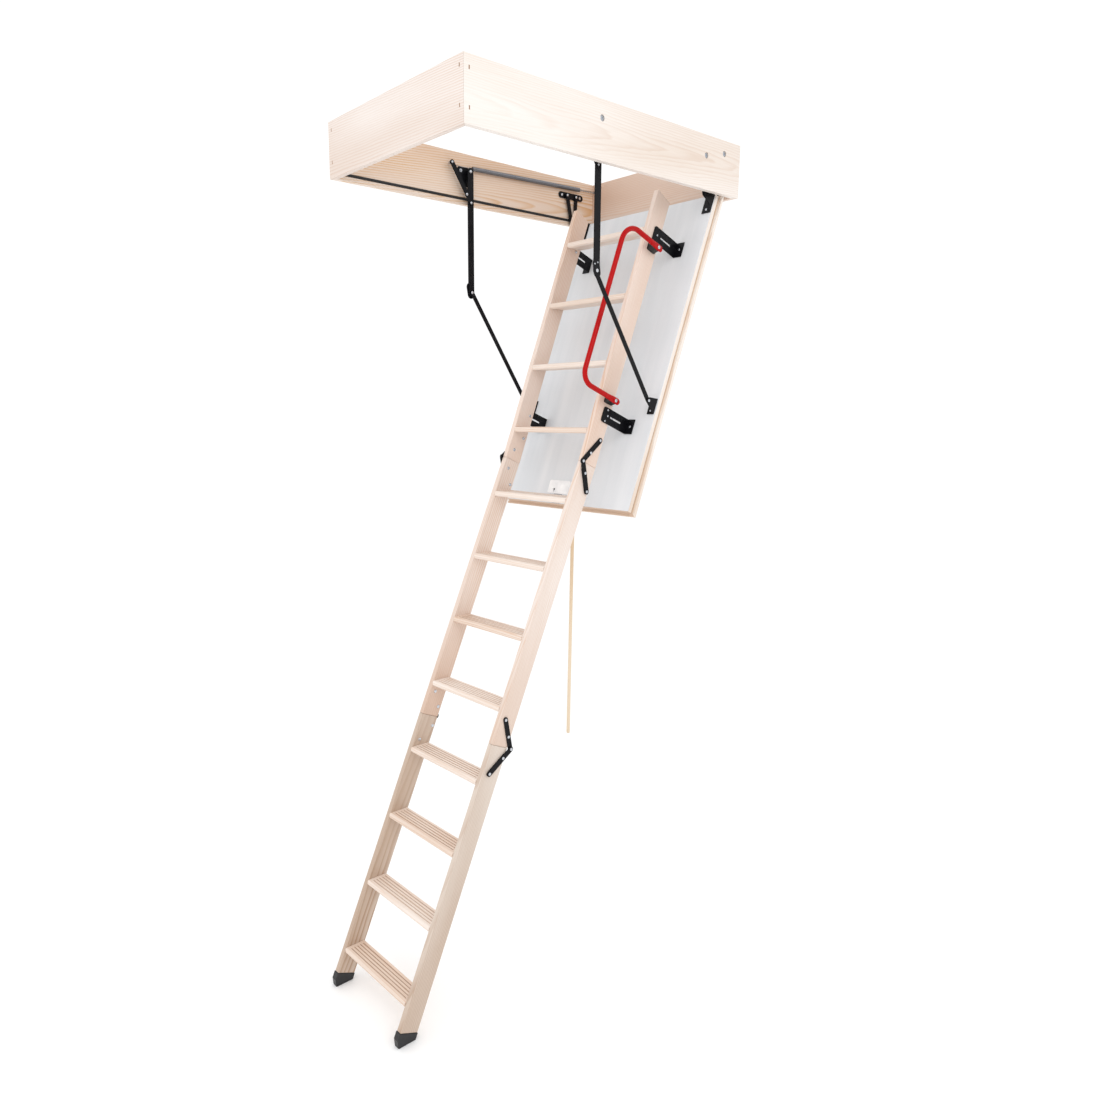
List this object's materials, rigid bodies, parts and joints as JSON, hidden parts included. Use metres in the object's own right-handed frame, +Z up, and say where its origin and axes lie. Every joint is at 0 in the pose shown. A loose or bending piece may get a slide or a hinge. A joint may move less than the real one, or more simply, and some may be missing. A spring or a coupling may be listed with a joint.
{
  "type": "attic ladder",
  "caption": "Folding timber attic ladder: box frame with a hinged insulated hatch, spring-balanced steel arms and ladder sections that fold up on side hinges.",
  "frame": {"origin": "centre of the frame's opening, level with the underside of the frame", "axes": "+X towards the hinge end of the frame, +Y towards the far side board, +Z up"},
  "size_m": [1.3774, 0.7, 2.8689],
  "materials": {
    "pine": "whitewashed and lacquered",
    "black_steel": "black powder coat",
    "panel": "fibreboard with a light grey coating",
    "black_plastic": "moulded, matt",
    "red_lacquer": "glossy red lacquer on tube",
    "spring_steel": "oiled spring wire",
    "pole_wood": "turned, clear lacquer"
  },
  "bodies": {
    "frame": {"frame_board_near": "pine", "frame_board_far": "pine", "frame_board_free_end": "pine", "frame_board_hinge_end": "pine", "hinge_plate_near": "black_steel", "hinge_plate_far": "black_steel", "arm_bracket_near": "black_steel", "arm_bracket_far": "black_steel", "tension_spring_near": "spring_steel", "tension_spring_far": "spring_steel"},
    "rear_links": {"rear_link_near": "black_steel", "rear_link_far": "black_steel"},
    "hatch": {"hatch_panel": "panel", "hatch_edging": "pine", "hatch_leaf_near": "black_steel", "hatch_leaf_far": "black_steel", "hatch_arm_bracket_near": "black_steel", "hatch_arm_bracket_far": "black_steel", "ladder_bracket_near_upper": "black_steel", "ladder_bracket_near_lower": "black_steel", "ladder_bracket_far_upper": "black_steel", "ladder_bracket_far_lower": "black_steel", "stile_1_near": "pine", "stile_1_far": "pine", "tread_01": "pine", "tread_02": "pine", "tread_03": "pine", "tread_04": "pine", "handrail": "red_lacquer", "handrail_block_upper": "black_plastic", "handrail_block_lower": "black_plastic", "hinge_12_upper_near": "black_steel", "hinge_12_upper_far": "black_steel"},
    "front_links": {"front_link_near": "black_steel", "front_link_far": "black_steel"},
    "upper_arms": {"upper_arm_near": "black_steel", "upper_arm_far": "black_steel"},
    "lower_arms": {"lower_arm_near": "black_steel", "lower_arm_far": "black_steel"},
    "section_2": {"stile_2_near": "pine", "stile_2_far": "pine", "tread_05": "pine", "tread_06": "pine", "tread_07": "pine", "tread_08": "pine", "hinge_12_lower_near": "black_steel", "hinge_12_lower_far": "black_steel", "hinge_23_upper_near": "black_steel", "hinge_23_upper_far": "black_steel"},
    "section_3": {"stile_3_near": "pine", "stile_3_far": "pine", "tread_09": "pine", "tread_10": "pine", "tread_11": "pine", "tread_12": "pine", "hinge_23_lower_near": "black_steel", "hinge_23_lower_far": "black_steel", "foot_near": "black_plastic", "foot_far": "black_plastic"},
    "pole": {"opening_pole": "pole_wood"}
  },
  "joints": [
    {"name": "hatch_swing", "type": "hinge", "parent": "rear_links", "child": "hatch", "pos_m": [0.47576, 0, 0.02311], "axis": [0, 1, 0], "range_deg": [0, 116.29]},
    {"name": "rear_link_turn", "type": "hinge", "parent": "frame", "child": "rear_links", "pos_m": [0.482, 0, 0.108], "axis": [0, -1, 0], "range_deg": [0, 60.01]},
    {"name": "front_link_turn", "type": "hinge", "parent": "frame", "child": "front_links", "pos_m": [0.43, 0, 0.108], "axis": [0, -1, 0], "range_deg": [0, 52.21]},
    {"name": "upper_arm_turn", "type": "hinge", "parent": "frame", "child": "upper_arms", "pos_m": [-0.06, 0, 0.108], "axis": [0, 1, 0], "range_deg": [0, 117.51]},
    {"name": "elbow_turn", "type": "hinge", "parent": "upper_arms", "child": "lower_arms", "pos_m": [-0.059, 0, -0.303], "axis": [0, -1, 0], "range_deg": [0, 112.91]},
    {"name": "ladder_fold", "type": "hinge", "parent": "hatch", "child": "section_2", "pos_m": [0.00043, 0, -0.88993], "axis": [0, 1, 0], "range_deg": [0, 177.43]},
    {"name": "foot_section_fold", "type": "hinge", "parent": "section_2", "child": "section_3", "pos_m": [-0.31577, 0, -1.82228], "axis": [0, -1, 0], "range_deg": [0, 180.01]},
    {"name": "pole_swing", "type": "hinge", "parent": "hatch", "child": "pole", "pos_m": [0.1358, -0.03, -1.0835], "axis": [0, -1, 0], "range_deg": [0, 56.29]}
  ],
  "couplings": [
    {"joint": "rear_link_turn", "follows": "hatch_swing", "ratio": 0.51596},
    {"joint": "front_link_turn", "follows": "hatch_swing", "ratio": 0.4489},
    {"joint": "upper_arm_turn", "follows": "hatch_swing", "ratio": 1.0104},
    {"joint": "elbow_turn", "follows": "hatch_swing", "ratio": 0.9709},
    {"joint": "pole_swing", "follows": "hatch_swing", "ratio": 0.484},
    {"joint": "foot_section_fold", "follows": "ladder_fold", "ratio": 1.0145}
  ]
}
